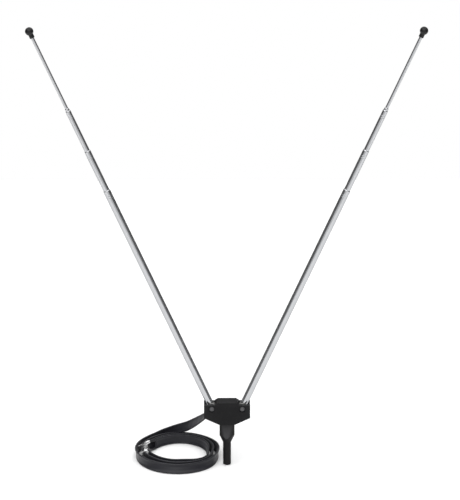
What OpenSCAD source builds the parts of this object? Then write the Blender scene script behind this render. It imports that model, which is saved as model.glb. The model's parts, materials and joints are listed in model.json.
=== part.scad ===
// Indoor V antenna: two telescopic rods on a plastic head with a plug-in peg and a flat twin lead.
// Millimetres. +Z up, +X to the right, +Y to the back. The origin is the end of the peg's round shank.

/* [Head] */
// Width of the head over its two ends
head_w = 46; // [43:0.5:48]
// Depth of the head from front to back
head_d = 16; // [15:0.5:18]
// Height of the hump's flat top above the origin
hump_z = 66.8; // [66:0.2:68]
// Height of the two ears above the origin
ear_z = 64.4; // [64:0.2:65.6]
// Height of the lower corner at each end
corner_z = 51; // [50:0.5:51.5]
// Height where the sloping underside meets the neck
underside_z = 43.8; // [43:0.2:44.6]
// Width of the neck
neck_w = 15; // [14:0.5:16]
// Depth of the neck
neck_d = 13; // [12:0.5:14]

/* [Peg] */
// Radius of the peg's round shank
peg_r = 4; // [3:0.25:4.5]
// Length of the peg's round shank
peg_len = 23; // [20:1:26]
// Height of the cone between the shank and the neck
shoulder_h = 5; // [4:0.5:7]

/* [Pivots] */
// Distance of each pivot from the middle of the head
pivot_x = 15.2; // [14.8:0.2:15.6]
// Height of the pivots above the origin
pivot_z = 60.2; // [59.8:0.2:60.6]
// Angle of each rod from the vertical at rest
rest_angle = 24.4; // [15:0.2:40]
// Radius of the rivet's shank
rivet_r = 1.6; // [1.5:0.1:1.7]
// Radius of the rivet's heads
rivet_head_r = 2.5; // [2.3:0.1:2.7]

/* [Rods] */
// Outside radius of the base tube
base_r = 3.5; // [3.5:0.1:3.6]
// How much smaller each section's radius is than the last
section_step = 0.5; // [0.5:0.05:0.55]
// Wall of every tube
tube_wall = 0.3; // [0.25:0.01:0.32]
// Distance from the pivot to the top of the base tube
base_top = 245; // [240:1:255]
// Length of the sliding tubes
section_len = 233; // [225:1:233]
// Length of the tip rod
tip_len = 239; // [232:1:239]
// Length of the second tube that shows at rest
second_out = 43; // [43:1:80]
// Length of the third tube that shows at rest
third_out = 43; // [43:1:80]
// Length of the fourth tube that shows at rest
fourth_out = 2.5; // [2.5:0.5:20]
// Length of the tip rod that shows at rest
tip_out = 74.5; // [74.5:0.5:100]
// Diameter of the ball on the tip cap
ball_d = 8; // [6:0.5:10]

/* [Lead] */
// Width of the flat twin lead
lead_w = 10; // [8:0.5:10]
// Thickness of the flat twin lead
lead_t = 2; // [1.6:0.1:2]
// Outside radius of the coiled lead
coil_r = 43.2; // [41:0.2:43.2]
// Radius of the opening in the coil
coil_open_r = 31; // [28:0.5:33]

/* [Hidden] */
$fn = 64;

LEFT = -1;
RIGHT = 1;
plastic = "#1d1d20";
lead_black = "#26262c";
chrome = "#d4d7dc";
bronze = "#b98d4c";
tin = "#bfc2c4";

// Over-cut that makes a hole pass its faces, the gap of a running fit, and the gap round a rod.
cut = 1;
fit = 0.05;
rod_gap = 0.3;

// Head: half widths of the hump's top and foot, and the slots that the rods swing in.
hump_half = 9;
hump_foot = 12.6;
slot_w = 8;
slot_inner = pivot_x - base_r - rod_gap;
knuckle_r = 4.6;
knuckle_w = 6.5;
pocket_r = knuckle_r + 0.4;
slot_floor = pivot_z - pocket_r;
recess_r = rivet_head_r + 0.5;
recess_depth = 1;
rivet_seat = head_d / 2 - recess_depth;

// Neck and the peg's spigot inside it.
neck_z = peg_len + shoulder_h;
neck_corner_r = 8.7;
shoulder_r = neck_d / 2 - 0.1;
neck_taper = 4.6;
spigot_r = 3.2;
spigot_top = 43;
flange_r = 4.8;
flange_z = 38;
flange_t = 2.4;
dome_h = 1;

// Cavity under the slots for the end of the lead, its clamp and the two wires.
cavity_x = 17.2;
cavity_z = 50;
cavity_h = 3;
cavity_front = -3;
cavity_back = 5;
channel_w = 3.2;
channel_y = 2.2;

// Contacts on each pivot.
washer_r = 3.4;
washer_t = 0.7;
tag_r = 3.2;
tag_t = 0.6;
tag_y = 3.35;
tag_w = 2.2;
tag_tail = 6.2;
wire_r = 0.5;
wire_y = tag_y - wire_r;
wire_z = 52.3;
wire_spread = 2.5;

// Each section's outside radius, from the base tube to the tip rod.
section_r = [for (i = [0:4]) base_r - i * section_step];
// Distances along a rod from its pivot at rest: where the cap starts, and each section's two ends.
cap_start = base_top + second_out + third_out + fourth_out + tip_out;
cap_neck = 3.5;
cap_neck_r = 2.4;
rod_in_cap = 5.5;
tops = [base_top, base_top + second_out, base_top + second_out + third_out, cap_start - tip_out,
    cap_start + rod_in_cap];
bottoms = [5.4, tops[1] - section_len, tops[2] - section_len, tops[3] - section_len, tops[4] - tip_len];
knuckle_neck_len = 12;
knuckle_neck_gap = 0.02;
spring_len = 8;
spring_gap = 0.03;
lip = 1.2;
lip_gap = 0.04;

// Surface that the coil lies on.
floor_z = -dome_h;
// Centres of the round back and front of the coil, and of its opening.
coil_back = [-48.2, 23];
coil_front = [-51, 16];
coil_open = [-48.6, 23];
// Where the lead leaves the back of the head.
exit_x = -12;
exit_z = 51;
// Route of the lead from inside the head to the coil, and the way its flat section's width points.
lead_route = [[exit_x, 3, exit_z], [exit_x, 9, exit_z], [-15, 18, 48], [-21, 29, 40], [-30, 43, 29],
    [-40, 55, 19], [-49, 63, 13], [-57, 66.5, 9], [-64, 64, 7]];
lead_width = [[1, 0, 0], [1, 0, 0], [0.9, 0.3, 0.3], [0.5, 0.5, 0.7], [0.2, 0.5, 0.85],
    [-0.1, 0.4, 0.9], [-0.1, 0.1, 1], [0, 0, 1], [0, 0, 1]];
clamp_y = 3.5;
clamp_d = 1.4;
// Place and heading of each spade lug on top of the coil, and the lug's own sizes.
upper_lug = [[-83, 27], 235];
lower_lug = [[-82, 11], 265];
lug_t = 0.8;
lug_w = 7;
lug_slot = 3.8;
lug_root = 4.5;
lug_fork = 3.5;
barrel_r = 1.7;
barrel_bore = 1;
barrel_len = 6;

// ---- Head ----

// Right half of the head's outline seen from the front, without the neck, from top to bottom.
half_outline = [[hump_half, hump_z], [hump_foot, ear_z], [head_w / 2, ear_z],
    [head_w / 2, corner_z], [neck_w / 2, underside_z]];

module head_outline() {
    last = len(half_outline) - 1;
    polygon(concat(half_outline, [for (i = [last:-1:0]) [-half_outline[i][0], half_outline[i][1]]]));
}

// A round bar along Y from y0 to y1, round one pivot.
module at_pivot(side, r, y0, y1) {
    translate([side * pivot_x, y0, pivot_z]) rotate([-90, 0, 0]) cylinder(r = r, h = y1 - y0);
}

// A block from x0 outwards on one side, centred on Y.
module side_block(side, x0, x1, depth, z0, z1) {
    translate([side > 0 ? x0 : -x1, -depth / 2, z0]) cube([x1 - x0, depth, z1 - z0]);
}

// Neck with round corners, its lower end tapered to the top of the peg's cone.
module neck() {
    height = underside_z + cut - neck_z;
    translate([0, 0, neck_z]) intersection() {
        translate([-neck_w / 2, -neck_d / 2, 0]) cube([neck_w, neck_d, height]);
        union() {
            cylinder(r1 = shoulder_r, r2 = neck_corner_r, h = neck_taper);
            translate([0, 0, neck_taper]) cylinder(r = neck_corner_r, h = height - neck_taper);
        }
    }
}

// The slot in which one rod swings, open at the top and at the head's end.
module rod_slot(side) {
    end_x = head_w / 2 + cut;
    side_block(side, slot_inner, end_x, slot_w, pivot_z, hump_z + cut);
    side_block(side, pivot_x, end_x, slot_w, slot_floor, hump_z + cut);
    at_pivot(side, pocket_r, -slot_w / 2, slot_w / 2);
}

// Rivet hole with a recess for the head at each end.
module rivet_hole(side) {
    at_pivot(side, rivet_r + fit, -head_d, head_d);
    at_pivot(side, recess_r, -head_d, -rivet_seat);
    at_pivot(side, recess_r, rivet_seat, head_d);
}

// Room for the solder tag's tail and the wire beneath one pivot.
module tag_channel(side) {
    translate([side * pivot_x - channel_w / 2, channel_y, cavity_z])
        cube([channel_w, slot_w / 2 + 0.2 - channel_y, slot_floor + cut - cavity_z]);
}

module lead_exit() {
    translate([exit_x - lead_w / 2 - fit, 0, exit_z - lead_t / 2 - fit])
        cube([lead_w + 2 * fit, head_d, lead_t + 2 * fit]);
}

module peg_seat() {
    translate([0, 0, neck_z - cut]) cylinder(r = spigot_r + fit, h = spigot_top + fit - neck_z + cut);
    translate([0, 0, flange_z - fit]) cylinder(r = flange_r + fit, h = flange_t + 2 * fit);
}

module whole_head() {
    difference() {
        union() {
            translate([0, head_d / 2, 0]) rotate([90, 0, 0]) linear_extrude(head_d) head_outline();
            neck();
        }
        for (side = [LEFT, RIGHT]) {
            rod_slot(side);
            rivet_hole(side);
            tag_channel(side);
        }
        translate([-cavity_x, cavity_front, cavity_z])
            cube([2 * cavity_x, cavity_back - cavity_front, cavity_h]);
        lead_exit();
        peg_seat();
    }
}

// Half of the head, in front of the parting plane or behind it.
module shell(side) {
    color(plastic) intersection() {
        whole_head();
        translate([-head_w, side > 0 ? 0 : -head_d, 0]) cube([2 * head_w, head_d, 2 * hump_z]);
    }
}

// Bar that presses the lead against the cavity's floor, standing astride it.
module lead_clamp() {
    half_w = exit_x + cavity_x - fit;
    color(plastic) difference() {
        translate([exit_x - half_w, clamp_y, cavity_z]) cube([2 * half_w, clamp_d, cavity_h]);
        lead_exit();
    }
}

// ---- Peg ----

// Round peg with a domed end, a cone up to the neck and a flanged spigot held between the shells.
module mounting_peg() {
    color(plastic) union() {
        rotate_extrude() polygon([[0, floor_z], [peg_r * 0.55, floor_z], [peg_r * 0.86, floor_z * 0.6],
            [peg_r, 0], [peg_r, peg_len], [shoulder_r, neck_z], [0, neck_z]]);
        translate([0, 0, neck_z - cut]) cylinder(r = spigot_r, h = spigot_top - neck_z + cut);
        translate([0, 0, flange_z]) cylinder(r = flange_r, h = flange_t);
    }
}

// ---- Pivots ----

// Semi-tubular rivet: plain head in front, rolled end behind.
module pivot_rivet(side) {
    head_t = 0.7;
    hollow_r = 0.8;
    hollow_depth = 3;
    color(tin) difference() {
        union() {
            at_pivot(side, rivet_r, -rivet_seat, rivet_seat);
            at_pivot(side, rivet_head_r, -rivet_seat - head_t, -rivet_seat);
            at_pivot(side, rivet_head_r - 0.2, rivet_seat, rivet_seat + head_t);
        }
        at_pivot(side, hollow_r, rivet_seat - hollow_depth, rivet_seat + cut);
    }
}

module wave_washer(side) {
    front = -slot_w / 2;
    color(bronze) difference() {
        at_pivot(side, washer_r, front, front + washer_t);
        at_pivot(side, rivet_r + fit, front - cut, front + washer_t + cut);
    }
}

// Ring terminal with a tail that reaches down to the wire.
module solder_tag(side) {
    color(tin) difference() {
        union() {
            at_pivot(side, tag_r, tag_y, tag_y + tag_t);
            translate([side * pivot_x - tag_w / 2, tag_y, pivot_z - tag_tail])
                cube([tag_w, tag_t, tag_tail - rivet_r - 0.2]);
        }
        at_pivot(side, rivet_r + fit, tag_y - cut, tag_y + tag_t + cut);
    }
}

// Conductor from the end of the lead to one solder tag.
module lead_wire(side) {
    start_x = exit_x + side * wire_spread;
    end_x = side * pivot_x;
    rise = pivot_z - knuckle_r - 0.8 - wire_z;
    color(bronze) union() {
        translate([min(start_x, end_x), wire_y, wire_z]) rotate([0, 90, 0])
            cylinder(r = wire_r, h = abs(end_x - start_x));
        translate([start_x, wire_y, wire_z]) sphere(r = wire_r);
        translate([end_x, wire_y, wire_z]) sphere(r = wire_r);
        translate([end_x, wire_y, wire_z]) cylinder(r = wire_r, h = rise);
    }
}

// ---- Rods ----

// Places a part along one rod: its own Z is the rod's axis, from the pivot outwards.
module on_rod(side) {
    translate([side * pivot_x, 0, pivot_z]) rotate([0, side * rest_angle, 0]) children();
}

// Disc on the rivet with a round neck that plugs the base tube.
module knuckle(side) {
    color(bronze) on_rod(side) difference() {
        union() {
            rotate([90, 0, 0]) cylinder(r = knuckle_r, h = knuckle_w, center = true);
            cylinder(r = section_r[0] - tube_wall - knuckle_neck_gap, h = knuckle_neck_len);
        }
        rotate([90, 0, 0]) cylinder(r = rivet_r + fit, h = knuckle_w + cut, center = true);
    }
}

// One tube of a rod, with its top edge rolled in over the next section.
module tube(side, i) {
    length = tops[i] - bottoms[i];
    bore = section_r[i] - tube_wall;
    color(chrome) on_rod(side) translate([0, 0, bottoms[i]]) difference() {
        cylinder(r = section_r[i], h = length);
        translate([0, 0, -cut]) cylinder(r = bore, h = length - lip + cut);
        cylinder(r = section_r[i + 1] + lip_gap, h = length + cut);
    }
}

// Spring collar on a section's lower end, which rubs in the tube around it.
module friction_spring(side, i) {
    outer = section_r[i - 1] - tube_wall - spring_gap;
    color(bronze) on_rod(side) translate([0, 0, bottoms[i]]) difference() {
        cylinder(r = outer, h = spring_len);
        translate([0, 0, -cut]) cylinder(r = section_r[i], h = spring_len + 2 * cut);
    }
}

module tip_rod(side) {
    color(chrome) on_rod(side) translate([0, 0, bottoms[4]]) cylinder(r = section_r[4], h = tip_len);
}

// Moulded cap with a ball end, pressed on the tip rod.
module tip_cap(side) {
    ball_sink = 0.6;
    color(plastic) on_rod(side) difference() {
        union() {
            translate([0, 0, cap_start]) cylinder(r = cap_neck_r, h = cap_neck + cut);
            translate([0, 0, cap_start + cap_neck + ball_d / 2 - ball_sink]) sphere(d = ball_d);
        }
        translate([0, 0, cap_start - cut]) cylinder(r = section_r[4], h = rod_in_cap + cut);
    }
}

// ---- Lead ----

function unit(v) = v / norm(v);
function heading(route, i) = unit(route[min(i + 1, len(route) - 1)] - route[max(i - 1, 0)]);
// Width direction made square to the route.
function across(route, width, i) = unit(width[i] - (width[i] * heading(route, i)) * heading(route, i));
// Flat section with cut corners, as eight points.
function flat_section(w, t) = [[w / 2, t / 5], [w / 2 - t * 0.3, t / 2], [t * 0.3 - w / 2, t / 2],
    [-w / 2, t / 5], [-w / 2, -t / 5], [t * 0.3 - w / 2, -t / 2], [w / 2 - t * 0.3, -t / 2], [w / 2, -t / 5]];
function ring_points(route, width, section, i) =
    let (u = across(route, width, i), v = cross(heading(route, i), u))
    [for (p = section) route[i] + p[0] * u + p[1] * v];

module swept(route, width, section) {
    sides = len(section);
    last = len(route) - 1;
    points = [for (i = [0:last]) each ring_points(route, width, section, i)];
    walls = [for (i = [0:last - 1]) for (k = [0:sides - 1])
        let (a = i * sides + k, b = i * sides + (k + 1) % sides)
        each [[a, b + sides, b], [a, a + sides, b + sides]]];
    start_cap = [for (k = [0:sides - 1]) k];
    end_cap = [for (k = [sides - 1:-1:0]) last * sides + k];
    polyhedron(points, concat(walls, [start_cap, end_cap]));
}

module twin_lead() {
    color(lead_black) swept(lead_route, lead_width, flat_section(lead_w, lead_t));
}

// Loosely wound coil: two shifted rounds, a little longer than wide, with a round opening.
module twin_lead_coil() {
    color(lead_black) translate([0, 0, floor_z]) difference() {
        union() {
            translate(coil_back) cylinder(r = coil_r, h = lead_w);
            translate(coil_front) cylinder(r = coil_r, h = lead_w);
        }
        translate([coil_open[0], coil_open[1], -cut]) cylinder(r = coil_open_r, h = lead_w + 2 * cut);
    }
}

module crimp_barrel(r) {
    translate([-barrel_len, 0, barrel_r]) rotate([0, 90, 0]) cylinder(r = r, h = barrel_len);
}

// Forked screw terminal lying on the coil, its barrel behind and its open fork ahead.
module spade_lug(place) {
    color(tin) translate([place[0][0], place[0][1], floor_z + lead_w]) rotate([0, 0, place[1]])
        difference() {
            union() {
                crimp_barrel(barrel_r);
                translate([-cut, -lug_slot / 2, 0]) cube([lug_root, lug_slot, lug_t]);
                translate([lug_root, 0, 0]) cylinder(d = lug_w, h = lug_t);
                translate([lug_root, -lug_w / 2, 0]) cube([lug_fork, lug_w, lug_t]);
            }
            translate([lug_root, 0, -cut]) cylinder(d = lug_slot, h = 2 * lug_w);
            translate([lug_root, -lug_slot / 2, -cut]) cube([lug_w, lug_slot, 2 * lug_w]);
            translate([-2 * cut, 0, 0]) crimp_barrel(barrel_bore);
        }
}

shell(LEFT);  // front_shell
shell(RIGHT);  // rear_shell
mounting_peg();
pivot_rivet(LEFT);  // left_pivot_rivet
pivot_rivet(RIGHT);  // right_pivot_rivet
wave_washer(LEFT);  // left_wave_washer
wave_washer(RIGHT);  // right_wave_washer
solder_tag(LEFT);  // left_solder_tag
solder_tag(RIGHT);  // right_solder_tag
lead_wire(LEFT);  // left_lead_wire
lead_wire(RIGHT);  // right_lead_wire
lead_clamp();
knuckle(LEFT);  // left_knuckle
knuckle(RIGHT);  // right_knuckle
tube(LEFT, 0);  // left_base_tube
tube(RIGHT, 0);  // right_base_tube
tube(LEFT, 1);  // left_second_tube
tube(RIGHT, 1);  // right_second_tube
friction_spring(LEFT, 1);  // left_second_spring
friction_spring(RIGHT, 1);  // right_second_spring
tube(LEFT, 2);  // left_third_tube
tube(RIGHT, 2);  // right_third_tube
friction_spring(LEFT, 2);  // left_third_spring
friction_spring(RIGHT, 2);  // right_third_spring
tube(LEFT, 3);  // left_fourth_tube
tube(RIGHT, 3);  // right_fourth_tube
friction_spring(LEFT, 3);  // left_fourth_spring
friction_spring(RIGHT, 3);  // right_fourth_spring
tip_rod(LEFT);  // left_tip_rod
tip_rod(RIGHT);  // right_tip_rod
friction_spring(LEFT, 4);  // left_tip_spring
friction_spring(RIGHT, 4);  // right_tip_spring
tip_cap(LEFT);  // left_tip_cap
tip_cap(RIGHT);  // right_tip_cap
twin_lead();
twin_lead_coil();
spade_lug(upper_lug);  // upper_spade_lug
spade_lug(lower_lug);  // lower_spade_lug
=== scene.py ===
"""Looks of an indoor V antenna: two telescopic rods, a head on a peg, and a coiled flat twin lead."""

import json
import math

import bmesh
import bpy
from mathutils import Matrix, Vector


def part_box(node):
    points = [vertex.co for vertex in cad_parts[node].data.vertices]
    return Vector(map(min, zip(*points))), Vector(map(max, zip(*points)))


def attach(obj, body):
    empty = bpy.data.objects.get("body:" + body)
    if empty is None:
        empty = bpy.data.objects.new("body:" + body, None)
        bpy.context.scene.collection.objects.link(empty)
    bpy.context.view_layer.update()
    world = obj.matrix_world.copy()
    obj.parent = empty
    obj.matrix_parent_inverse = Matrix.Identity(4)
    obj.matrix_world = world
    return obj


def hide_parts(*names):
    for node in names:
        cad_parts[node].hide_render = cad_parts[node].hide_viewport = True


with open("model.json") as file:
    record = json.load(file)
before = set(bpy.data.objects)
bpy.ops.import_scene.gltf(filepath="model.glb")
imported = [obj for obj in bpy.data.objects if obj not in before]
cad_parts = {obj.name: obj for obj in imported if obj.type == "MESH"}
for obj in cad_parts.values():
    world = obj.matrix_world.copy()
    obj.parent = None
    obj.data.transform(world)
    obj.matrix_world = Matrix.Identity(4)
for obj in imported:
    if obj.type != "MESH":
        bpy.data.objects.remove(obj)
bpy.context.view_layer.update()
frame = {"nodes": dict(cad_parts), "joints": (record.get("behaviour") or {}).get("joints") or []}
nodes = frame["nodes"]
joints = {j["name"]: j for j in frame["joints"]}

MM = 0.001
UP = Vector((0, 0, 1))
SIDES = ("left", "right")


# ---- Meshes ----

# Points closer than MERGE_DISTANCE become one. In degrees: edges flatter than FLAT_ANGLE go, and those
# sharper than BEVEL_ANGLE are rounded.
MERGE_DISTANCE = 1e-6
FLAT_ANGLE = 0.5
BEVEL_ANGLE = 28
# Points round a turned piece.
ROUND = 48
# Spans of a turned profile longer than LONG_SPAN get extra rings SPAN_SUPPORT from their ends.
LONG_SPAN = 1.5 * MM
SPAN_SUPPORT = 0.1 * MM


def new_piece(name, verts, faces):
    """A smooth-shaded mesh object from points in metres, linked to the scene."""
    mesh = bpy.data.meshes.new(name)
    mesh.from_pydata([tuple(v) for v in verts], [], faces)
    bm = bmesh.new()
    bm.from_mesh(mesh)
    bmesh.ops.remove_doubles(bm, verts=bm.verts, dist=MERGE_DISTANCE)
    bmesh.ops.recalc_face_normals(bm, faces=bm.faces)
    for face in bm.faces:
        face.smooth = True
    bm.to_mesh(mesh)
    bm.free()
    piece = bpy.data.objects.new(name, mesh)
    bpy.context.scene.collection.objects.link(piece)
    return piece


def dress(piece, body, material, slot, *stands_for):
    """Gives a piece its body and material, and hides the CAD nodes that it stands for; slot is not used."""
    piece.data.materials.append(material)
    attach(piece, body)
    if stands_for:
        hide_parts(*stands_for)


def round_edges(piece, width, segments):
    """Rounds every sharp edge, and keeps the flats flat in the shading."""
    bevel = piece.modifiers.new("rounded edges", "BEVEL")
    bevel.limit_method = "ANGLE"
    bevel.angle_limit = math.radians(BEVEL_ANGLE)
    bevel.width = width
    bevel.segments = segments
    bevel.miter_outer = "MITER_ARC"
    normals = piece.modifiers.new("flat faces", "WEIGHTED_NORMAL")
    normals.keep_sharp = True


def rounded_copy(name, node, width, segments=3):
    """A new piece with a CAD node's shape, its flat faces made whole and its edges rounded."""
    source = nodes[node].data
    verts = [v.co.copy() for v in source.vertices]
    faces = [list(p.vertices) for p in source.polygons]
    piece = new_piece(name, verts, faces)
    bm = bmesh.new()
    bm.from_mesh(piece.data)
    flat = math.radians(FLAT_ANGLE)
    bmesh.ops.dissolve_limit(bm, angle_limit=flat, verts=bm.verts, edges=bm.edges)
    bm.to_mesh(piece.data)
    bm.free()
    round_edges(piece, width, segments)
    return piece


def supported(profile):
    """The profile with extra points near the ends of its long spans, which keep their shading straight."""
    points = []
    for (along, radius), (far_along, far_radius) in zip(profile, profile[1:]):
        points.append((along, radius))
        length = math.hypot(far_along - along, far_radius - radius)
        if length > LONG_SPAN:
            for part in (SPAN_SUPPORT / length, 1 - SPAN_SUPPORT / length):
                points.append((along + part * (far_along - along), radius + part * (far_radius - radius)))
    return points + [profile[-1]]


def lathe(name, profile, place, closed=False):
    """A turned piece on its own Z axis, which place puts where it belongs; profile is (along, radius)."""
    profile = supported(profile)
    verts = []
    faces = []
    for along, radius in profile:
        for k in range(ROUND):
            turn = 2 * math.pi * k / ROUND
            verts.append((radius * math.cos(turn), radius * math.sin(turn), along))
    rings = len(profile)
    for i in range(rings if closed else rings - 1):
        for k in range(ROUND):
            a = i * ROUND + k
            b = i * ROUND + (k + 1) % ROUND
            c = (i + 1) % rings * ROUND + (k + 1) % ROUND
            d = (i + 1) % rings * ROUND + k
            faces.append((a, b, c, d))
    piece = new_piece(name, verts, faces)
    piece.matrix_world = place
    return piece


def arc(along, radius, size_along, size_radius, start, end, steps):
    """Points of an elliptical arc in a profile, with angles in degrees from the radius direction."""
    points = []
    for i in range(steps + 1):
        a = math.radians(start + (end - start) * i / steps)
        points.append((along + size_along * math.sin(a), radius + size_radius * math.cos(a)))
    return points


def sweep(name, path, across, section):
    """A piece swept along a path; section points are (along the width, through the thickness)."""
    verts = []
    faces = []
    last = len(path) - 1
    sides = len(section)
    for i, point in enumerate(path):
        heading = (path[min(i + 1, last)] - path[max(i - 1, 0)]).normalized()
        wide = (across[i] - across[i].dot(heading) * heading).normalized()
        thick = heading.cross(wide)
        verts += [point + wide * u + thick * v for u, v in section]
    for i in range(last):
        for k in range(sides):
            a = i * sides + k
            b = i * sides + (k + 1) % sides
            faces.append((a, b, b + sides, a + sides))
    faces.append(tuple(range(sides - 1, -1, -1)))
    faces.append(tuple(last * sides + k for k in range(sides)))
    return new_piece(name, verts, faces)


def round_section(radius, sides):
    """A circle's points, as a section for sweep."""
    turns = [2 * math.pi * k / sides for k in range(sides)]
    return [(radius * math.cos(turn), radius * math.sin(turn)) for turn in turns]


def smooth_line(points, per_span):
    """Points of a smooth curve through the given ones (Catmull-Rom)."""
    ends = [2 * points[0] - points[1]] + list(points) + [2 * points[-1] - points[-2]]
    line = []
    for i in range(1, len(ends) - 2):
        p0, p1, p2, p3 = ends[i - 1:i + 3]
        for k in range(per_span):
            t = k / per_span
            line.append(0.5 * (2 * p1 + (p2 - p0) * t + (2 * p0 - 5 * p1 + 4 * p2 - p3) * t ** 2
                               + (3 * p1 - p0 - 3 * p2 + p3) * t ** 3))
    return line + [points[-1]]


# ---- Camera ----

CAMERA_AZIMUTH = math.radians(-0.6)
CAMERA_ELEVATION = math.radians(15.84)
CAMERA_DISTANCE = 1.87
CAMERA_TARGET = Vector((0.003, 0, 0.223))
CAMERA_LENS = 138


def make_camera():
    data = bpy.data.cameras.new("camera")
    data.lens = CAMERA_LENS
    camera = bpy.data.objects.new("camera", data)
    level = math.cos(CAMERA_ELEVATION)
    back = Vector((math.sin(CAMERA_AZIMUTH) * level, -math.cos(CAMERA_AZIMUTH) * level,
                   math.sin(CAMERA_ELEVATION)))
    camera.location = CAMERA_TARGET + CAMERA_DISTANCE * back
    camera.rotation_mode = "QUATERNION"
    camera.rotation_quaternion = (-back).to_track_quat("-Z", "Y")
    bpy.context.scene.collection.objects.link(camera)
    bpy.context.scene.camera = camera


make_camera()


# ---- Materials ----

class Shader:
    """A material's node tree with one Principled shader, and short ways to add nodes to it."""

    def __init__(self, name, **constants):
        self.material = bpy.data.materials.new(name)
        self.material.use_nodes = True
        self.tree = self.material.node_tree
        self.bsdf = self.tree.nodes["Principled BSDF"]
        for socket, value in constants.items():
            self.bsdf.inputs[socket.replace("_", " ")].default_value = value
        self.object_space = self.tree.nodes.new("ShaderNodeTexCoord").outputs["Object"]

    def link(self, source, target):
        self.tree.links.new(source, target)

    def stretched(self, scale):
        """Object coordinates with a different scale along each axis."""
        mapping = self.tree.nodes.new("ShaderNodeMapping")
        mapping.inputs["Scale"].default_value = scale
        self.link(self.object_space, mapping.inputs["Vector"])
        return mapping.outputs["Vector"]

    def noise(self, scale, detail, roughness=0.55, where=None):
        node = self.tree.nodes.new("ShaderNodeTexNoise")
        node.inputs["Scale"].default_value = scale
        node.inputs["Detail"].default_value = detail
        node.inputs["Roughness"].default_value = roughness
        self.link(where or self.object_space, node.inputs["Vector"])
        return node.outputs["Fac"]

    def ramp(self, factor, stops):
        """A colour ramp; stops are (place, grey or colour)."""
        node = self.tree.nodes.new("ShaderNodeValToRGB")
        elements = node.color_ramp.elements
        while len(elements) < len(stops):
            elements.new(0.5)
        for element, (place, colour) in zip(elements, stops):
            element.position = place
            rgb = (colour,) * 3 if isinstance(colour, float) else colour
            element.color = (*rgb, 1)
        self.link(factor, node.inputs["Fac"])
        return node.outputs["Color"]

    def mix(self, factor, first, second):
        """Mixes two colours; each is a socket or a constant colour, and factor is a socket or a number."""
        node = self.tree.nodes.new("ShaderNodeMix")
        node.data_type = "RGBA"
        # The node repeats its socket names for each kind of data: 6, 7 and the output 2 are the colours'.
        factor_socket, first_socket, second_socket = (node.inputs[i] for i in (0, 6, 7))
        for value, socket in ((factor, factor_socket), (first, first_socket), (second, second_socket)):
            if isinstance(value, bpy.types.NodeSocket):
                self.link(value, socket)
            elif isinstance(value, (int, float)):
                socket.default_value = value
            else:
                socket.default_value = (*value, 1)
        return node.outputs[2]

    def edges(self, low, high):
        """1 on convex edges and 0 elsewhere."""
        geometry = self.tree.nodes.new("ShaderNodeNewGeometry")
        return self.ramp(geometry.outputs["Pointiness"], [(low, 0.0), (high, 1.0)])

    def bump(self, heights):
        """Chains bumps; each is (height socket, strength, distance in metres)."""
        normal = None
        for height, strength, distance in heights:
            node = self.tree.nodes.new("ShaderNodeBump")
            node.inputs["Strength"].default_value = strength
            node.inputs["Distance"].default_value = distance
            self.link(height, node.inputs["Height"])
            if normal:
                self.link(normal, node.inputs["Normal"])
            normal = node.outputs["Normal"]
        self.link(normal, self.bsdf.inputs["Normal"])

    def colour(self, socket):
        self.link(socket, self.bsdf.inputs["Base Color"])

    def roughness(self, socket):
        self.link(socket, self.bsdf.inputs["Roughness"])


def moulded_plastic():
    """Black polystyrene with a fine spark-eroded grain, faint flow marks and edges rubbed a little grey."""
    s = Shader("black plastic", IOR=1.5, Specular_IOR_Level=0.14)
    flow = s.noise(scale=55, detail=3)
    dust = s.noise(scale=420, detail=5, roughness=0.7)
    base = s.mix(flow, (0.004, 0.004, 0.0046), (0.0075, 0.0075, 0.0082))
    dusty = s.mix(s.ramp(dust, [(0.56, 0.0), (0.78, 0.35)]), base, (0.035, 0.034, 0.033))
    worn = s.mix(s.edges(0.53, 0.66), dusty, (0.04, 0.04, 0.042))
    s.colour(worn)
    s.roughness(s.ramp(s.noise(scale=160, detail=4), [(0.3, 0.36), (0.7, 0.52)]))
    s.bump([(s.noise(scale=3200, detail=2), 0.25, 0.00006), (s.noise(scale=90, detail=2), 0.12, 0.0004)])
    return s.material


def cap_plastic():
    """Glossier black of the moulded tip caps."""
    s = Shader("tip cap plastic", IOR=1.5, Specular_IOR_Level=0.28)
    base = s.mix(s.noise(scale=140, detail=3), (0.005, 0.005, 0.0055), (0.01, 0.01, 0.011))
    worn = s.mix(s.edges(0.54, 0.7), base, (0.03, 0.03, 0.031))
    s.colour(worn)
    s.roughness(s.ramp(s.noise(scale=300, detail=4), [(0.3, 0.2), (0.7, 0.34)]))
    s.bump([(s.noise(scale=2600, detail=2), 0.15, 0.00005), (s.noise(scale=240, detail=2), 0.1, 0.0002)])
    return s.material


def lead_pvc():
    """Soft black PVC of the flat lead: bluish, satin, a little dusty, with slight die lines."""
    s = Shader("lead pvc", IOR=1.48, Sheen_Weight=0.06, Sheen_Roughness=0.5, Specular_IOR_Level=0.32)
    base = s.mix(s.noise(scale=70, detail=4), (0.0055, 0.0055, 0.0085), (0.012, 0.012, 0.0165))
    dust = s.ramp(s.noise(scale=800, detail=5, roughness=0.7), [(0.54, 0.0), (0.78, 0.4)])
    dusty = s.mix(dust, base, (0.03, 0.03, 0.035))
    s.colour(dusty)
    s.roughness(s.ramp(s.noise(scale=260, detail=4), [(0.3, 0.34), (0.7, 0.52)]))
    s.bump([(s.noise(scale=1800, detail=3), 0.2, 0.00008), (s.noise(scale=150, detail=2), 0.25, 0.0004)])
    return s.material


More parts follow.
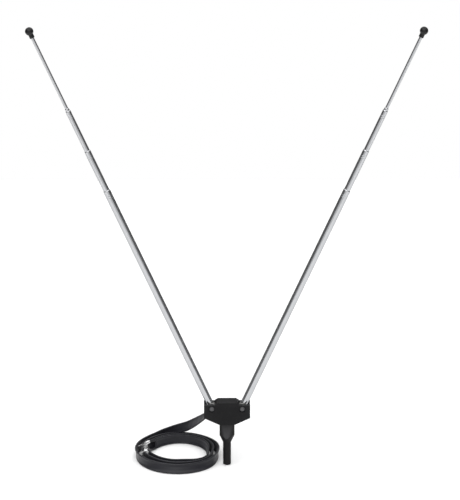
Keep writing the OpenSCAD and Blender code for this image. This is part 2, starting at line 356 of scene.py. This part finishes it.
def chrome_plate():
    """Bright chrome on drawn brass tube, with hairline scratches along it, smudges and fine pits."""
    s = Shader("chrome", Metallic=1.0, IOR=2.0, Specular_Tint=(0.1, 0.1, 0.11, 1))
    smudge = s.noise(scale=60, detail=5, roughness=0.6)
    along_rod = s.stretched((1.0, 1.0, 0.03))
    scratch = s.noise(scale=5200, detail=2, roughness=0.5, where=along_rod)
    pits = s.noise(scale=1500, detail=3, roughness=0.6)
    base = s.mix(smudge, (0.46, 0.47, 0.485), (0.56, 0.565, 0.58))
    s.colour(s.mix(s.ramp(pits, [(0.7, 0.0), (0.8, 0.5)]), base, (0.45, 0.42, 0.38)))
    worn = s.ramp(smudge, [(0.35, 0.09), (0.7, 0.22)])
    s.roughness(s.mix(s.ramp(scratch, [(0.6, 0.0), (0.72, 0.5)]), worn, (0.3, 0.3, 0.3)))
    s.bump([(scratch, 0.06, 0.00002), (pits, 0.05, 0.00002)])
    return s.material


def plated_metal(name, dark, light, rough_low, rough_high):
    """Duller stamped or turned metal with tarnish, tool marks and bright rubbed edges."""
    s = Shader(name, Metallic=1.0, IOR=1.8)
    tarnish = s.noise(scale=600, detail=5, roughness=0.65)
    base = s.mix(tarnish, dark, light)
    rubbed = tuple(min(1.0, c * 1.25) for c in light)
    s.colour(s.mix(s.edges(0.52, 0.66), base, rubbed))
    s.roughness(s.ramp(s.noise(scale=900, detail=4), [(0.3, rough_low), (0.7, rough_high)]))
    s.bump([(s.noise(scale=4000, detail=2), 0.15, 0.00003), (tarnish, 0.1, 0.00005)])
    return s.material


def floor_paper():
    """Plain white studio paper with a very faint tooth."""
    s = Shader("floor paper", Specular_IOR_Level=0.1)
    s.colour(s.ramp(s.noise(scale=9, detail=3), [(0.3, 0.86), (0.7, 0.9)]))
    s.roughness(s.ramp(s.noise(scale=60, detail=3), [(0.3, 0.75), (0.7, 0.9)]))
    s.bump([(s.noise(scale=900, detail=3), 0.1, 0.0001)])
    return s.material


PLASTIC = moulded_plastic()
CAP = cap_plastic()
PVC = lead_pvc()
CHROME = chrome_plate()
RIVET = plated_metal("rivet steel", (0.07, 0.07, 0.072), (0.14, 0.14, 0.145), 0.38, 0.58)
NICKEL = plated_metal("plated knuckle", (0.4, 0.4, 0.4), (0.6, 0.595, 0.58), 0.24, 0.42)
TIN = plated_metal("tinned brass", (0.68, 0.69, 0.7), (0.88, 0.88, 0.88), 0.16, 0.34)
BRONZE = plated_metal("spring bronze", (0.42, 0.25, 0.1), (0.68, 0.44, 0.2), 0.22, 0.42)
COPPER = plated_metal("copper strand", (0.55, 0.25, 0.12), (0.85, 0.47, 0.28), 0.2, 0.4)


# ---- Twin lead ----

# The lead's own sizes, its exit from the head, and the route of its CAD solid, with an end that is eased
# into the coil.
LEAD_WIDTH = 10 * MM
BEAD_RADIUS = 1 * MM
WEB_HALF = 0.45 * MM
LEAD_ROUTE = [(-0.012, 0.003, 0.051), (-0.012, 0.009, 0.051), (-0.015, 0.018, 0.048),
              (-0.021, 0.029, 0.040), (-0.030, 0.043, 0.029), (-0.040, 0.055, 0.019),
              (-0.0483, 0.0608, 0.0142), (-0.057, 0.0638, 0.0104), (-0.0657, 0.0629, 0.0076)]
LEAD_ACROSS = [(1, 0, 0), (1, 0, 0), (0.9, 0.3, 0.3), (0.5, 0.5, 0.7), (0.2, 0.5, 0.85),
               (-0.1, 0.4, 0.9), (-0.1, 0.1, 1), (0, 0, 1), (0, 0, 1)]
ROUTE_STEPS = 4
# The section: spans round a bead, where the web is thickest (as a part of the way out to a bead's
# centre), and how much thicker it is there.
BEAD_STEPS = 8
WEB_PLACE = 0.3
WEB_SWELL = 1.1
# The coil, with its angles in degrees. It starts at the back, at COIL_START, and winds inwards, and the
# free lead joins it COIL_JOIN later. COIL_EASE under 1 draws the first turn in faster than the others.
# The turns stand on edge, are looser at the front, and lean inwards there and outwards at the sides.
# They settle from SETTLE_RISE above the floor, and HEIGHT_DRIFT turns the waves in their height by so
# many radians a turn.
COIL_START = 110
COIL_JOIN = 15
COIL_TURN = 1115
COIL_STEP = 5
COIL_RADIUS = 46.4 * MM
COIL_LEFT = 0.7 * MM
COIL_FORWARD = 4 * MM
COIL_STRETCH = 1.8 * MM
COIL_PITCH = 6.4 * MM
COIL_EASE = 0.85
FRONT_LOOSER = 1.9 * MM
CORNER_LEFT = 1.2 * MM
CORNER_RIGHT = 3.4 * MM
CORNER_TIGHTER = 5.4 * MM
COIL_WOBBLE = 0.25 * MM
WOBBLE_WAVES = 5
SETTLE_TURN = 45
SETTLE_RISE = 3 * MM
HEIGHT_WOBBLE = 0.2 * MM
HEIGHT_WAVES = 3
HEIGHT_DRIFT = 2.1
FRONT_LEAN = 26
SIDE_LEAN = 16
COIL_END_RADIUS = 43.2 * MM
# The two conductors after the split, with places in millimetres: how each leaves the lead's end (ahead,
# up), the points that it follows, and the two ends of its bare strand.
CONDUCTOR_RADIUS = BEAD_RADIUS * 0.98
CONDUCTOR_SIDES = 12
CONDUCTOR_STEPS = 5
CONDUCTOR_ACROSS = UP + Vector((0.01, 0, 0))
UPPER_LEAVE = (3.5, 0.8)
UPPER_ROUTE = [(-78.4, 33.6, 10.7), (-79.7, 31.7, 10.75)]
UPPER_BARE = [(-79.3, 32.3, 10.75), (-81.7, 28.9, 10.7)]
LOWER_LEAVE = (4, 0.2)
LOWER_ROUTE = [(-77.8, 32.8, 1.8), (-79.5, 27.5, 4.2), (-80.6, 22.8, 7.6), (-81.2, 19.6, 10.2),
               (-81.45, 17.9, 10.75), (-81.5, 16.8, 10.72)]
LOWER_BARE = [(-81.5, 17.4, 10.75), (-81.7, 13.4, 10.7)]
STRAND_RADIUS = 0.55 * MM
STRAND_SIDES = 10
STRAND_SPANS = 4
LUG_EDGE = 0.12 * MM
LUG_EDGE_SEGMENTS = 2

coil_low, coil_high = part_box("twin_lead_coil")
coil_middle = Vector((coil_high.x - COIL_END_RADIUS, coil_high.y - COIL_END_RADIUS, coil_low.z))


def coil_point(turned):
    """Centre of the lead after so many degrees of the coil, and the way its width points there."""
    angle = math.radians(COIL_START + turned)
    front = 0.5 - 0.5 * math.sin(angle)
    settle = max(0.0, 1 - turned / SETTLE_TURN)
    radius = COIL_RADIUS - COIL_LEFT * math.cos(angle) - COIL_FORWARD * math.sin(angle)
    radius -= COIL_STRETCH * math.cos(2 * angle)
    corner = front * math.sin(2 * angle)
    left = max(0.0, corner) ** 2
    right = max(0.0, -corner) ** 2
    radius -= CORNER_LEFT * left + CORNER_RIGHT * right
    wound = (turned / 360) ** COIL_EASE
    radius -= (COIL_PITCH - FRONT_LOOSER * math.sin(angle) - CORNER_TIGHTER * right) * wound
    radius += COIL_WOBBLE * math.sin(WOBBLE_WAVES * angle)
    lean = math.radians(FRONT_LEAN * front ** 2 - SIDE_LEAN * math.cos(angle) ** 2)
    lean *= 1 - settle
    outward = Vector((math.cos(angle), math.sin(angle), 0))
    height = BEAD_RADIUS + (LEAD_WIDTH / 2 - BEAD_RADIUS) * math.cos(lean)
    height += SETTLE_RISE * settle ** 2
    height += HEIGHT_WOBBLE * (1 + math.sin(HEIGHT_WAVES * angle + HEIGHT_DRIFT * turned / 360))
    centre = coil_middle + radius * outward + height * UP
    return centre, UP * math.cos(lean) - outward * math.sin(lean)


def twin_section():
    """Dumbbell outline: a round bead over each conductor and a thin web between them."""
    offset = LEAD_WIDTH / 2 - BEAD_RADIUS
    join = 180 - math.degrees(math.asin(WEB_HALF / BEAD_RADIUS))
    points = []
    for side in (1, -1):
        for k in range(BEAD_STEPS + 1):
            a = math.radians(join - 2 * join * k / BEAD_STEPS)
            points.append((side * (offset + BEAD_RADIUS * math.cos(a)), side * BEAD_RADIUS * math.sin(a)))
        points.append((side * offset * WEB_PLACE, -side * WEB_HALF * WEB_SWELL))
        points.append((-side * offset * WEB_PLACE, -side * WEB_HALF * WEB_SWELL))
    return points


def lead_path():
    """The centreline and the width direction, from inside the head to the inner end of the coil."""
    coil = [coil_point(t) for t in range(COIL_JOIN, COIL_TURN + 1, COIL_STEP)]
    free = smooth_line([Vector(p) for p in LEAD_ROUTE] + [coil[0][0]], ROUTE_STEPS)
    twist = smooth_line([Vector(a) for a in LEAD_ACROSS] + [UP], ROUTE_STEPS)
    return free + [c[0] for c in coil[1:]], twist + [c[1] for c in coil[1:]]


def conductor(name, start, leave, ahead, route):
    """One insulated conductor, split from the end of the lead and led to its lug."""
    points = [start - ahead, start + leave[0] * ahead + leave[1] * UP]
    points += [Vector(p) for p in route]
    line = smooth_line([p * MM for p in points], CONDUCTOR_STEPS)
    section = round_section(CONDUCTOR_RADIUS, CONDUCTOR_SIDES)
    piece = sweep(name, line, [CONDUCTOR_ACROSS] * len(line), section)
    dress(piece, "root", PVC, "lead_black")
    return piece


def bare_strand(name, ends):
    """Bare copper between the insulation and the inside of the lug's barrel."""
    start, end = (Vector(p) * MM for p in ends)
    line = [start.lerp(end, k / STRAND_SPANS) for k in range(STRAND_SPANS + 1)]
    piece = sweep(name, line, [UP] * len(line), round_section(STRAND_RADIUS, STRAND_SIDES))
    dress(piece, "root", COPPER, "bronze")
    return piece


def make_lug(end_name):
    node = f"{end_name}_spade_lug"
    lug = rounded_copy(f"{end_name}_lug", node, LUG_EDGE, LUG_EDGE_SEGMENTS)
    dress(lug, "root", TIN, "tin", node)
    return lug


def make_lead():
    """The lead with its split end, bare strands and lugs."""
    path, across = lead_path()
    lead = sweep("twin_lead_flat", path, across, twin_section())
    dress(lead, "root", PVC, "lead_black", "twin_lead", "twin_lead_coil")
    end = path[-1] / MM
    half = (LEAD_WIDTH / 2 - BEAD_RADIUS) / MM * across[-1]
    ahead = (path[-1] - path[-2]).normalized()
    on_cord = [
        conductor("upper_conductor", end + half, UPPER_LEAVE, ahead, UPPER_ROUTE),
        conductor("lower_conductor", end - half, LOWER_LEAVE, ahead, LOWER_ROUTE),
        bare_strand("upper_strand", UPPER_BARE),
        bare_strand("lower_strand", LOWER_BARE),
        make_lug("upper"),
        make_lug("lower"),
    ]


make_lead()


# ---- Head ----

SHELL_EDGE = 0.45 * MM
PEG_EDGE = 0.3 * MM

for half_name in ("front", "rear"):
    shell_node = f"{half_name}_shell"
    shell = rounded_copy(f"{half_name}_half_shell", shell_node, SHELL_EDGE)
    dress(shell, "root", PLASTIC, "black_plastic", shell_node)

peg = rounded_copy("plug_in_peg", "mounting_peg", PEG_EDGE)
dress(peg, "root", PLASTIC, "black_plastic", "mounting_peg")


# ---- Rivets ----

RIVET_SHANK = 1.6 * MM
RIVET_RIM = 2.3 * MM
RIVET_RIM_UNDER = RIVET_RIM - 0.1 * MM
RIVET_HOLLOW = 0.8 * MM
RIVET_HOLLOW_DEPTH = 3 * MM
RIVET_HOLLOW_POINT = 3.2 * MM
RIVET_HEAD_THICKNESS = 0.7 * MM


def make_rivet(side):
    """Tubular rivet: a low dome in front, a rolled rim round its hollow behind."""
    node = f"{side}_pivot_rivet"
    low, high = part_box(node)
    middle = (low + high) / 2
    place = Matrix.Translation((middle.x, low.y, middle.z)) @ Matrix.Rotation(-math.pi / 2, 4, "X")
    length = high.y - low.y
    head = (high.x - low.x) / 2
    thick = RIVET_HEAD_THICKNESS
    roll_middle = (RIVET_RIM + RIVET_HOLLOW) / 2
    roll_half = (RIVET_RIM - RIVET_HOLLOW) / 2
    profile = [(0.0, 0.0)]
    profile += arc(thick, 0, thick, head, -88, 0, 8)[1:]
    profile += [(thick, RIVET_SHANK), (length - thick, RIVET_SHANK)]
    profile += [(length - thick, RIVET_RIM_UNDER)]
    profile += arc(length - thick / 2, roll_middle, thick / 2, roll_half, 0, 180, 10)
    profile += [(length - RIVET_HOLLOW_DEPTH, RIVET_HOLLOW), (length - RIVET_HOLLOW_POINT, 0)]
    rivet = lathe(f"{side}_rivet", profile, place)
    dress(rivet, "root", RIVET, "tin", node)


for side in SIDES:
    make_rivet(side)


# ---- Rods ----

LIP = 1.2 * MM
LIP_GAP = 0.04 * MM
LIP_FACE = 0.02 * MM
LIP_CORNER = 0.1 * MM
LIP_BACK = 0.7
WALL = 0.3 * MM
# The swaged grooves: places below the tube's top, depth, half width, and a point on each side of the
# middle: how far out it is, and which part of the depth it has.
GROOVES_BELOW = (7.5 * MM, 5.5 * MM)
GROOVE_DEPTH = 0.1 * MM
GROOVE_HALF = 0.5 * MM
GROOVE_SIDE = 0.25 * MM
GROOVE_SIDE_DEPTH = 0.7
TUBE_CHAMFER = 0.08 * MM
BORE_CHAMFER = 0.05 * MM
ROD_CHAMFER = 0.3 * MM
ROD_SHORT_OF_CAP_END = 1 * MM
KNUCKLE_EDGE = 0.3 * MM
CAP_NECK = 2.4 * MM
CAP_BORE_DEPTH = 5 * MM
CAP_RIM = 0.4 * MM
CAP_BORE_CHAMFER = (0.3 * MM, 0.25 * MM)
CAP_FILLET = ((0.9 * MM, 0.0), (0.4 * MM, 0.12 * MM))
CAP_FILLET_WIDTH = 0.5 * MM
BALL_STEPS = 16
SECTIONS = ("base_tube", "second_tube", "third_tube", "fourth_tube", "tip_rod")
SECTION_BODY = ("swing", "second", "third", "fourth", "tip")


def rod_place(side):
    """Puts a piece's Z on one rod's axis, from the pivot outwards."""
    axis = Vector(joints[f"{side}_tip_slide"]["axis"]).normalized()
    low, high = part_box(f"{side}_pivot_rivet")
    pivot = (low + high) / 2
    turn = UP.rotation_difference(axis).to_matrix().to_4x4()
    return Matrix.Translation((pivot.x, 0, pivot.z)) @ turn


def span(node, place):
    """Where a CAD node starts and ends along its rod, and its largest radius."""
    back = place.inverted()
    points = [back @ v.co for v in nodes[node].data.vertices]
    along = [p.z for p in points]
    return min(along), max(along), max(math.hypot(p.x, p.y) for p in points)


def tube_profile(start, end, radius, next_radius):
    """A drawn tube: plain lower end, shallow swaged grooves, and a top rolled in over the next section."""
    mouth = next_radius + LIP_GAP
    bore = radius - WALL
    side_depth = GROOVE_DEPTH * GROOVE_SIDE_DEPTH
    profile = [(start, bore + BORE_CHAMFER), (start, radius - TUBE_CHAMFER),
               (start + TUBE_CHAMFER, radius)]
    for below in GROOVES_BELOW:
        centre = end - below
        profile += [(centre - GROOVE_HALF, radius), (centre - GROOVE_SIDE, radius - side_depth),
                    (centre, radius - GROOVE_DEPTH), (centre + GROOVE_SIDE, radius - side_depth),
                    (centre + GROOVE_HALF, radius)]
    profile += arc(end - LIP, mouth, LIP, radius - mouth, 0, 80, 7)
    profile += [(end, mouth + LIP_FACE), (end - LIP_CORNER, mouth), (end - LIP * LIP_BACK, mouth)]
    profile += [(end - LIP, bore)]
    return profile


def cap_profile(start, end, ball, bore):
    """A moulded cap: a short neck with a rounded rim, run by a fillet into the ball end."""
    centre = end - ball
    meet = math.asin((CAP_NECK + CAP_FILLET_WIDTH) / ball)
    foot = centre - ball * math.cos(meet)
    deep = start + CAP_BORE_DEPTH
    chamfer_along, chamfer_out = CAP_BORE_CHAMFER
    profile = [(deep, 0.0), (deep, bore), (start + chamfer_along, bore), (start, bore + chamfer_out)]
    profile += arc(start + CAP_RIM, CAP_NECK - CAP_RIM, CAP_RIM, CAP_RIM, -90, 0, 4)
    profile += [(foot - below, CAP_NECK + out) for below, out in CAP_FILLET]
    first = math.degrees(meet)
    for i in range(BALL_STEPS + 1):
        a = math.radians(first + (180 - first) * i / BALL_STEPS)
        profile.append((centre - ball * math.cos(a), ball * math.sin(a)))
    return profile


def make_rod(side):
    """One rod: its knuckle, four tubes, tip rod and cap, each on its own body."""
    place = rod_place(side)
    knuckle = rounded_copy(f"{side}_swing_knuckle", f"{side}_knuckle", KNUCKLE_EDGE)
    dress(knuckle, f"{side}_swing", NICKEL, "chrome", f"{side}_knuckle")
    spans = [span(f"{side}_{section}", place) for section in SECTIONS]
    for i, section in enumerate(SECTIONS[:-1]):
        start, end, radius = spans[i]
        profile = tube_profile(start, end, radius, spans[i + 1][2])
        tube = lathe(f"{side}_{section}_chrome", profile, place, closed=True)
        dress(tube, f"{side}_{SECTION_BODY[i]}", CHROME, "chrome", f"{side}_{section}")
    start, end, radius = spans[-1]
    rod_end = end - ROD_SHORT_OF_CAP_END
    solid = [(start, 0), (start, radius - ROD_CHAMFER), (start + ROD_CHAMFER, radius), (rod_end, radius),
             (rod_end, 0)]
    rod = lathe(f"{side}_tip_rod_chrome", solid, place)
    dress(rod, f"{side}_tip", CHROME, "chrome", f"{side}_tip_rod")
    cap_start, cap_end, ball = span(f"{side}_tip_cap", place)
    cap = lathe(f"{side}_ball_cap", cap_profile(cap_start, cap_end, ball, radius), place)
    dress(cap, f"{side}_tip", CAP, "black_plastic", f"{side}_tip_cap")


for side in SIDES:
    make_rod(side)


# ---- CAD nodes that keep their shape ----

def finish_node(node, material):
    """Puts a better material on a CAD node that keeps its own shape."""
    for slot in nodes[node].material_slots:
        slot.material = material


for side in SIDES:
    finish_node(f"{side}_wave_washer", BRONZE)
    finish_node(f"{side}_solder_tag", TIN)
    finish_node(f"{side}_lead_wire", COPPER)
    for section in ("second", "third", "fourth", "tip"):
        finish_node(f"{side}_{section}_spring", BRONZE)
finish_node("lead_clamp", PLASTIC)


# ---- Floor, light and background ----

FLOOR_SIZE = 2.4
FLOOR_STEPS = 8
FLOOR_GAP = 0.02 * MM
# The room: how light its cloth and its dark part are, the height (of a view direction of length 1) up
# to which it is dark and the height by which the dark has gone, how far forward the dark reaches, and
# the stretch over which it comes in.
CLOTH_GREY = 0.95
ROOM_GREY = 0.17
DARK_UP_TO = 0.4
GONE_BY = 0.6
SIDE_REACH = 0.85
SIDE_FADE = 0.3
WORLD_STRENGTH = 0.9


def make_floor():
    """A sheet of paper just under the coil."""
    height = coil_low.z - FLOOR_GAP
    half = FLOOR_SIZE / 2
    line = [-half + FLOOR_SIZE * k / FLOOR_STEPS for k in range(FLOOR_STEPS + 1)]
    verts = [(x, y, height) for y in line for x in line]
    row = FLOOR_STEPS + 1
    corners = [r * row + c for r in range(FLOOR_STEPS) for c in range(FLOOR_STEPS)]
    faces = [(a, a + 1, a + row + 1, a + row) for a in corners]
    floor = new_piece("floor", verts, faces)
    floor.data.materials.append(floor_paper())


def add_light(name, kind, place, aim, power, spread):
    """A soft light: a sun's spread is an angle in degrees, and an area light's is its diameter."""
    data = bpy.data.lights.new(name, kind)
    data.energy = power
    if kind == "SUN":
        data.angle = math.radians(spread)
    else:
        data.shape = "DISK"
        data.size = spread
    light = bpy.data.objects.new(name, data)
    light.location = place
    light.rotation_mode = "QUATERNION"
    light.rotation_quaternion = (Vector(aim) - Vector(place)).to_track_quat("-Z", "Y")
    bpy.context.scene.collection.objects.link(light)


def add_ramp(tree, factor, stops):
    """A grey ramp between the given (place, grey) stops."""
    ramp = tree.nodes.new("ShaderNodeValToRGB")
    elements = ramp.color_ramp.elements
    while len(elements) < len(stops):
        elements.new(0.5)
    for element, (place, grey) in zip(elements, stops):
        element.position = place
        element.color = (grey, grey, grey, 1)
    tree.links.new(factor, ramp.inputs["Fac"])
    return ramp.outputs["Color"]


def studio_world():
    """White cloth overhead and in front, and a darker room low down behind and at the sides."""
    world = bpy.data.worlds.new("studio")
    world.use_nodes = True
    tree = world.node_tree
    coordinates = tree.nodes.new("ShaderNodeTexCoord")
    split = tree.nodes.new("ShaderNodeSeparateXYZ")
    tree.links.new(coordinates.outputs["Generated"], split.inputs["Vector"])
    low_down = add_ramp(tree, split.outputs["Z"], ((0.0, 1.0), (DARK_UP_TO, 1.0), (GONE_BY, 0.0)))
    shifted = tree.nodes.new("ShaderNodeMath")
    shifted.operation = "ADD"
    shifted.inputs[1].default_value = SIDE_REACH
    tree.links.new(split.outputs["Y"], shifted.inputs[0])
    behind = add_ramp(tree, shifted.outputs["Value"], ((0.0, 0.0), (SIDE_FADE, 1.0)))
    both = tree.nodes.new("ShaderNodeMath")
    both.operation = "MULTIPLY"
    tree.links.new(low_down, both.inputs[0])
    tree.links.new(behind, both.inputs[1])
    shade = add_ramp(tree, both.outputs["Value"], ((0.0, CLOTH_GREY), (1.0, ROOM_GREY)))
    room = tree.nodes["Background"]
    tree.links.new(shade, room.inputs["Color"])
    room.inputs["Strength"].default_value = WORLD_STRENGTH
    plain = tree.nodes.new("ShaderNodeBackground")
    plain.inputs["Color"].default_value = (1, 1, 1, 1)
    seen = tree.nodes.new("ShaderNodeLightPath")
    pick = tree.nodes.new("ShaderNodeMixShader")
    tree.links.new(seen.outputs["Is Camera Ray"], pick.inputs["Fac"])
    tree.links.new(room.outputs["Background"], pick.inputs[1])
    tree.links.new(plain.outputs["Background"], pick.inputs[2])
    tree.links.new(pick.outputs["Shader"], tree.nodes["World Output"].inputs["Surface"])
    bpy.context.scene.world = world


make_floor()
studio_world()
add_light("overhead", "SUN", (0.2, 0.1, 2), (0, 0, 0), 1.5, 100)
add_light("key", "SUN", (-0.9, -1.2, 1.6), (0, 0, 0), 0.7, 60)
add_light("front", "AREA", (0, -2.2, 2.0), (0, -1.6, 0), 12, 1.6)
bpy.context.scene.view_settings.view_transform = "Standard"
